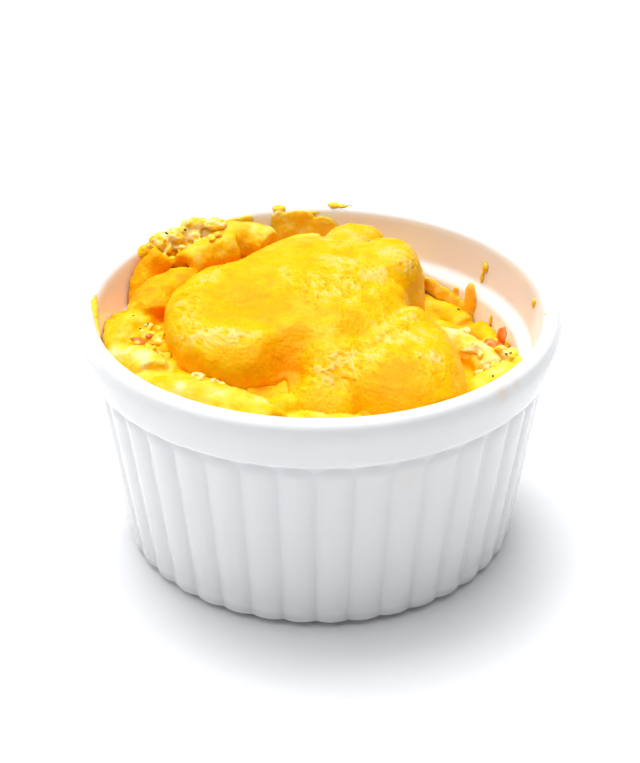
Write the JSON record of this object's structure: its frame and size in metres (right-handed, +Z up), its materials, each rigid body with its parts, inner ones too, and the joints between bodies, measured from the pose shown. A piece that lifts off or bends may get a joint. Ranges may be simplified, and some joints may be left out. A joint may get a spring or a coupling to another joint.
{
  "type": "macaroni cheese in a ramekin",
  "caption": "Macaroni cheese in a small round white fluted ramekin, with melted cheese lying over the macaroni and free space beside it.",
  "frame": {"origin": "centre of the dish, on the surface it stands on", "axes": "+Z up along the dish's axis; -Y towards the front of the food as shown; +X to its right"},
  "size_m": [0.09, 0.09, 0.0525],
  "materials": {
    "white_porcelain": "white glaze, smooth and glossy",
    "macaroni_in_sauce": "wet cheese sauce over cooked pasta",
    "melted_cheese": "melted yellow cheese, wet and finely wrinkled"
  },
  "bodies": {
    "root": {"ramekin": "white_porcelain", "macaroni_heap": "macaroni_in_sauce", "melted_cheese": "melted_cheese"}
  },
  "joints": []
}
